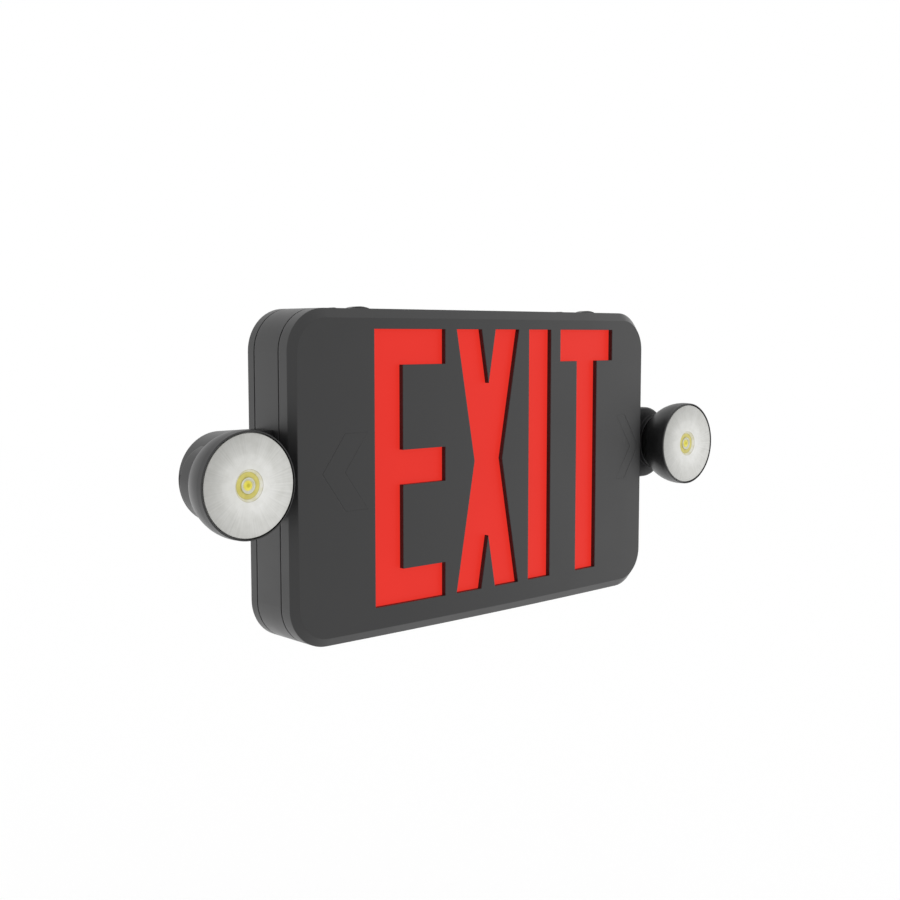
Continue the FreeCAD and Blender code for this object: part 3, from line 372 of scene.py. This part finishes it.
# steel, stamped or turned and zinc plated: pale grey with a faint spangle
zincSteel = newMaterial("zincPlatedSteel")
place = addNode(zincSteel, "ShaderNodeTexCoord")
spangle = addNode(zincSteel, "ShaderNodeTexVoronoi", values={"Scale": 1 / platedParts["spangleSize"]},
                  links={"Vector": place.outputs["Object"]})
zincTone = addNode(zincSteel, "ShaderNodeValToRGB", links={"Fac": spangle.outputs["Distance"]},
                   stops=platedParts["tones"])
addNode(zincSteel, "Principled BSDF", values={"Metallic": 1.0, "Roughness": platedParts["roughness"]},
        links={"Base Color": zincTone.outputs["Color"]})

waveLength = math.pi / 10       # a wave pattern of scale 1 repeats after this length, m

transformerCore = {
    "tones": [(0.3, "#2c2a28"), (0.7, "#4a4744")],
    "layerPitch": 0.001,        # two laminations, half a millimetre each
    "tape": "#c98f2a",
    "coreHalfHeight": 0.01355,  # only the winding stands further from the middle, m
    "roughness": 0.45,
}

# transformer: varnished silicon-steel laminations, and a winding wrapped in amber tape
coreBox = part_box("transformer")
coreMiddle = (coreBox[0][2] + coreBox[1][2]) / 2
wrappedCore = newMaterial("varnishedLaminations")
place = addNode(wrappedCore, "ShaderNodeTexCoord")
layers = addNode(wrappedCore, "ShaderNodeTexWave", {"bands_direction": "Y"},
                 {"Scale": waveLength / transformerCore["layerPitch"], "Distortion": 0.3},
                 {"Vector": place.outputs["Object"]})
coreTone = addNode(wrappedCore, "ShaderNodeValToRGB", links={"Fac": layers.outputs["Fac"]},
                   stops=transformerCore["tones"])
split = addNode(wrappedCore, "ShaderNodeSeparateXYZ", links={"Vector": place.outputs["Object"]})
fromCore = addNode(wrappedCore, "ShaderNodeMath", {"operation": "SUBTRACT"}, {1: coreMiddle},
                   {0: split.outputs["Z"]})
eitherEnd = addNode(wrappedCore, "ShaderNodeMath", {"operation": "ABSOLUTE"}, links={0: fromCore.outputs[0]})
isWinding = addNode(wrappedCore, "ShaderNodeMath", {"operation": "GREATER_THAN"},
                    {1: transformerCore["coreHalfHeight"]}, {0: eitherEnd.outputs[0]})
coreOrTape = addNode(wrappedCore, "ShaderNodeMix", {"data_type": "RGBA"}, {"B": linear(transformerCore["tape"])},
                     {"Factor": isWinding.outputs[0], "A": coreTone.outputs["Color"]})
addNode(wrappedCore, "Principled BSDF", values={"Roughness": transformerCore["roughness"]},
        links={"Base Color": coreOrTape.outputs["Result"]})

cellSleeve = {
    "tones": [(0.2, "#1f6b4a"), (0.9, "#257a55")],
    "wrinklePitch": 0.0026,     # m
    "wrinkleDepth": 0.00006,
    "roughness": 0.22,
}

# PVC, shrunk round the cells: a glossy green film with faint wrinkles
shrinkSleeve = newMaterial("shrunkPvcSleeve")
place = addNode(shrinkSleeve, "ShaderNodeTexCoord")
wrinkle = addNode(shrinkSleeve, "ShaderNodeTexWave", {"bands_direction": "X"},
                  {"Scale": waveLength / cellSleeve["wrinklePitch"], "Distortion": 6.0, "Detail": 2.0},
                  {"Vector": place.outputs["Object"]})
sleeveTone = addNode(shrinkSleeve, "ShaderNodeValToRGB", links={"Fac": wrinkle.outputs["Fac"]},
                     stops=cellSleeve["tones"])
sleeveBump = addNode(shrinkSleeve, "ShaderNodeBump",
                     values={"Strength": 0.4, "Distance": cellSleeve["wrinkleDepth"]},
                     links={"Height": wrinkle.outputs["Fac"]})
addNode(shrinkSleeve, "Principled BSDF", values={"Roughness": cellSleeve["roughness"]},
        links={"Base Color": sleeveTone.outputs["Color"], "Normal": sleeveBump.outputs["Normal"]})
print("finishes ready")

finishOfSlot = {
    "housing_black": mouldedAbs, "panel_red": litAcrylic, "inner_white": mattWhite, "led_yellow": phosphor,
    "led_red": redResin, "board_white": boardWhite, "board_green": boardGreen, "aluminium": turnedAluminium,
    "steel": zincSteel, "laminations": wrappedCore, "relay_blue": relayCase, "sleeve_black": switchBody,
    "terminal_green": terminalBody, "battery_sleeve": shrinkSleeve,
}
finishOfNode = {"status_lens": litPipe, "switch_plunger": plungerBody}
slotOfNode = {part["node"]: part["material_slot"] for part in frame["record"]["subparts"]}
for name, node in nodes.items():
    finish = finishOfNode.get(name) or finishOfSlot.get(slotOfNode[name])
    if finish:
        node.data.materials[0] = finish
print("finishes on", len(nodes), "nodes")


# the lamp optic is a fluted acrylic disc with a collimator behind it and a well over the LED
lampOptic = {
    "flutes": 96,
    "fluteDepth": 0.00010,
    "fluteFrom": 0.0105,        # radii between which the flutes run, m
    "fluteTo": 0.0255,
    "frontRadius": 0.0260,
    "frontRise": 0.0002,        # the front face stands this far before the plain lens's crown
    "frontBand": 0.0006,        # vertices this near the front face belong to it
    "rimChamfer": 0.00015,
    "flangeDrop": 0.0012,       # the flange lies this much below the front face
    "flangeThickness": 0.0011,
    "smoothAngle": 32,
    # rings from the rim to the middle: inset and rise of each, mm
    "frontRings": [(0.15, 0.15), (1.0, 0.0), (1.6, 0.0), (2.5, 0.0), (3.0, 0.0), (3.5, 0.0), (3.2, 0.0),
                   (2.1, 0.0), (0.7, 0.0), (0.12, -0.12), (0.12, 0.0), (0.15, -0.2), (0.75, -1.0),
                   (0.3, -0.15), (1.1, 0.1), (1.35, 0.0), (0.2, 0.35), (0.4, 0.1), (0.35, -0.05),
                   (0.3, -0.45), (0.35, -0.1), (0.4, 0.3), (0.6, 0.2), (0.6, 0.05)],
    "backRings": [(3.1, 0.0), (2.2, 3.6), (5.4, 4.4), (5.2, 3.0), (2.0, 0.0), (2.4, 0.0), (0.05, -5.0)],
}

opticFinish = {
    # tones by distance from the lamp's axis, mm, darker towards the rim; one ramp for the side lit by painted
    # light, one for the side in painted shade
    "paintedLitSide": [(8.3, "#e3e3df"), (12, "#e6e6e3"), (16, "#dcdcd8"), (20, "#d7d7d3"), (24, "#d4d4d0"),
                   (25.8, "#cdcdc9")],
    "paintedShadedSide": [(8.3, "#dadad5"), (12, "#d7d7d3"), (15.2, "#d1d1cd"), (16.4, "#c9c9c5"), (20, "#bbbbb7"),
                 (25.8, "#acaca8")],
    # the well: the LED's own yellow in the middle, a yellow ring from 4.5 to 6.5 mm painted as the LED's
    # reflection in the well's wall, and a darker ring of painted shade from 8.0 to 8.12 mm on the groove's floor
    "well": [(0.6, "#c2b812"), (1.3, "#e6da3c"), (2.3, "#e8de5e"), (2.75, "#dcd8b0"), (3.0, "#d2d4ce"),
             (3.9, "#d0d2ca"), (4.15, "#aaa468"), (4.5, "#ccc264"), (6.5, "#d4ca6c"), (6.75, "#b2aa62"),
             (6.95, "#e2e0cc"), (7.8, "#eaeae5"), (8.0, "#c6c4be"), (8.12, "#c6c4be"), (8.25, "#e0e0db")],
    "wellRadius": 0.0082,       # m
    # painted shade: the flange, sunk round the rim in the shade of the bowl, is made dark
    "flange": "#3c3c3a",
    "flangeMargin": 0.00003,    # keeps the flange's tone off the front face, m
    # the painted shade is lightest this way from the axis
    "paintedLightWay": (0.87, -0.5, 0),   # right and a little down
    "spokeScale": 22.0,         # pattern cells to the radius, about 140 spokes round
    "spokeTones": [(0.33, "#f3f3f3"), (0.62, "#ffffff")],
    "spokesFrom": 0.0095,       # radii over which the spokes come up, m
    "spokesTo": 0.018,
    "patchScale": 190.0,        # patches 5 mm across, where the reflector shows unevenly
    "patchTones": [(0.35, "#f7f7f6"), (0.6, "#ffffff")],
    "mirrorScale": 230.0,       # the LED mirrored in the well's wall, in blots 4 mm across
    "mirrorTones": [(0.35, "#f0edd6"), (0.65, "#ffffff")],
    "roughness": 0.28,
    "ior": 1.49,
    "polish": 0.3,
    "polishRoughness": 0.05,
}


# a tone that changes with the distance from the lamp's axis
def tonesAlong(material, out, stops):
    share = addNode(material, "ShaderNodeMapRange", values={"From Max": lampOptic["frontRadius"]},
                    links={"Value": out})
    tones = addNode(material, "ShaderNodeValToRGB", links={"Fac": share.outputs["Result"]},
                    stops=[(place / 1000 / lampOptic["frontRadius"], colour) for place, colour in stops])
    return tones.outputs["Color"]


# acrylic, moulded and polished over a white reflector: milky and uneven, with fine spokes, darker towards the rim
# and painted with shade, darker to the upper left; its well shows the LED's yellow and a painted reflection of it
flutedAcrylic = newMaterial("polishedAcrylicOptic")
flat = fromLampAxis(flutedAcrylic)
out = addNode(flutedAcrylic, "ShaderNodeVectorMath", {"operation": "LENGTH"}, links={0: flat}).outputs["Value"]
towards = addNode(flutedAcrylic, "ShaderNodeVectorMath", {"operation": "NORMALIZE"}, links={0: flat}).outputs[0]
# painted shade: the disc is lighter to the lower right and darker to the upper left
facingPaintedLight = addNode(flutedAcrylic, "ShaderNodeVectorMath", {"operation": "DOT_PRODUCT"},
                 {1: opticFinish["paintedLightWay"]}, {0: towards})
paintedLightShare = addNode(flutedAcrylic, "ShaderNodeMapRange", values={"From Min": -1.0, "From Max": 1.0},
                      links={"Value": facingPaintedLight.outputs["Value"]})
paintedShadeTone = addNode(flutedAcrylic, "ShaderNodeMix", {"data_type": "RGBA"},
                    links={"Factor": paintedLightShare.outputs["Result"],
                           "A": tonesAlong(flutedAcrylic, out, opticFinish["paintedShadedSide"]),
                           "B": tonesAlong(flutedAcrylic, out, opticFinish["paintedLitSide"])})
spokes = addNode(flutedAcrylic, "ShaderNodeTexNoise",
                 values={"Scale": opticFinish["spokeScale"], "Detail": 3.0, "Roughness": 0.6},
                 links={"Vector": towards})
spokeTone = addNode(flutedAcrylic, "ShaderNodeValToRGB", links={"Fac": spokes.outputs["Fac"]},
                    stops=opticFinish["spokeTones"])
spokeShare = addNode(flutedAcrylic, "ShaderNodeMapRange",
                     values={"From Min": opticFinish["spokesFrom"], "From Max": opticFinish["spokesTo"]},
                     links={"Value": out})
spokedTone = addNode(flutedAcrylic, "ShaderNodeMix", {"data_type": "RGBA", "blend_type": "MULTIPLY"},
                     links={"Factor": spokeShare.outputs["Result"], "A": paintedShadeTone.outputs["Result"],
                            "B": spokeTone.outputs["Color"]})
patches = addNode(flutedAcrylic, "ShaderNodeTexNoise", values={"Scale": opticFinish["patchScale"], "Detail": 2.0},
                  links={"Vector": flat})
patchTone = addNode(flutedAcrylic, "ShaderNodeValToRGB", links={"Fac": patches.outputs["Fac"]},
                    stops=opticFinish["patchTones"])
discTone = addNode(flutedAcrylic, "ShaderNodeMix", {"data_type": "RGBA", "blend_type": "MULTIPLY"},
                   {"Factor": 1.0}, {"A": spokedTone.outputs["Result"], "B": patchTone.outputs["Color"]})
mirrored = addNode(flutedAcrylic, "ShaderNodeTexNoise",
                   values={"Scale": opticFinish["mirrorScale"], "Detail": 1.0}, links={"Vector": flat})
mirroredTone = addNode(flutedAcrylic, "ShaderNodeValToRGB", links={"Fac": mirrored.outputs["Fac"]},
                       stops=opticFinish["mirrorTones"])
# the well's tones hold a painted reflection of the LED and painted shade in its groove
wellLedAndPaintedLightTone = addNode(flutedAcrylic, "ShaderNodeMix", {"data_type": "RGBA", "blend_type": "MULTIPLY"},
                   {"Factor": 1.0}, {"A": tonesAlong(flutedAcrylic, out, opticFinish["well"]),
                                     "B": mirroredTone.outputs["Color"]})
isWell = addNode(flutedAcrylic, "ShaderNodeMath", {"operation": "LESS_THAN"}, {1: opticFinish["wellRadius"]},
                 {0: out})
frontTone = addNode(flutedAcrylic, "ShaderNodeMix", {"data_type": "RGBA"},
                    links={"Factor": isWell.outputs[0], "A": discTone.outputs["Result"],
                           "B": wellLedAndPaintedLightTone.outputs["Result"]})
# painted shade on the sunk flange round the rim
isFlangeShade = addNode(flutedAcrylic, "ShaderNodeMath", {"operation": "GREATER_THAN"},
                   {1: lampOptic["frontRadius"] + opticFinish["flangeMargin"]}, {0: out})
opticTone = addNode(flutedAcrylic, "ShaderNodeMix", {"data_type": "RGBA"}, {"B": linear(opticFinish["flange"])},
                    {"Factor": isFlangeShade.outputs[0], "A": frontTone.outputs["Result"]})
addNode(flutedAcrylic, "Principled BSDF",
        values={"Roughness": opticFinish["roughness"], "IOR": opticFinish["ior"],
                "Coat Weight": opticFinish["polish"], "Coat Roughness": opticFinish["polishRoughness"]},
        links={"Base Color": opticTone.outputs["Result"]})
print("optic finish ready")


# selects those faces or vertices of the piece being edited that are wanted, and nothing else
def selectOnly(piece, kind, wanted):
    bpy.ops.mesh.select_mode(type=kind)
    mesh = bmesh.from_edit_mesh(piece.data)
    for part in (mesh.verts, mesh.edges, mesh.faces):
        for item in part:
            item.select = False
    for item in mesh.faces if kind == "FACE" else mesh.verts:
        if wanted(item):
            item.select_set(True)
    mesh.select_flush_mode()
    bmesh.update_edit_mesh(piece.data)


# insets the selected faces again and again, and closes the last ring to a point
def insetRings(rings):
    for inset, rise in rings:
        bpy.ops.mesh.inset(thickness=inset / 1000, depth=rise / 1000)
    bpy.ops.mesh.merge(type="COLLAPSE")


def makeLampOptic(side):
    low, high = (Vector(corner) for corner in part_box("lamp_lens_" + side))
    middle = (low + high) / 2
    radius = (high.x - low.x) / 2
    frontY = low.y - lampOptic["frontRise"]
    flangeY = frontY + lampOptic["flangeDrop"]
    sectors = 2 * lampOptic["flutes"]
    bpy.ops.object.select_all(action="DESELECT")
    bpy.ops.mesh.primitive_cylinder_add(
        vertices=sectors, radius=radius, depth=lampOptic["flangeThickness"],
        location=(middle.x, flangeY + lampOptic["flangeThickness"] / 2, middle.z),
        rotation=(math.radians(90), 0, 0))
    optic = bpy.context.active_object
    optic.name = "lampOptic_" + side
    bpy.ops.object.transform_apply(location=True, rotation=True, scale=True)
    bpy.ops.object.mode_set(mode="EDIT")
    selectOnly(optic, "FACE", lambda face: face.normal.y < -0.9)
    bpy.ops.mesh.inset(thickness=radius - lampOptic["frontRadius"], depth=0)
    bpy.ops.mesh.extrude_region_move(
        TRANSFORM_OT_translate={"value": (0, lampOptic["rimChamfer"] - lampOptic["flangeDrop"], 0)})
    insetRings(lampOptic["frontRings"])
    # the back is the one face left with many corners
    selectOnly(optic, "FACE", lambda face: face.normal.y > 0.9 and len(face.verts) > 10)
    insetRings(lampOptic["backRings"])

    # every other spoke of the front stands proud, which makes the flutes
    step = 2 * math.pi / sectors

    def onCrest(vert):
        across, up = vert.co.x - middle.x, vert.co.z - middle.z
        inFlutes = lampOptic["fluteFrom"] < math.hypot(across, up) < lampOptic["fluteTo"]
        number = round(math.atan2(up, across) / step - 0.25)    # a quarter step keeps the rounding sure
        return vert.co.y < frontY + lampOptic["frontBand"] and inFlutes and number % 2 == 0

    selectOnly(optic, "VERT", onCrest)
    bpy.ops.transform.translate(value=(0, -lampOptic["fluteDepth"], 0))
    bpy.ops.mesh.select_all(action="SELECT")
    bpy.ops.mesh.normals_make_consistent(inside=False)
    bpy.ops.object.mode_set(mode="OBJECT")
    bpy.ops.object.shade_smooth_by_angle(angle=math.radians(lampOptic["smoothAngle"]))
    optic.data.materials.append(flutedAcrylic)
    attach(optic, "head_" + side)
    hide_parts("lamp_lens_" + side)


for side in ("left", "right"):
    makeLampOptic(side)
print("lamp optics made")
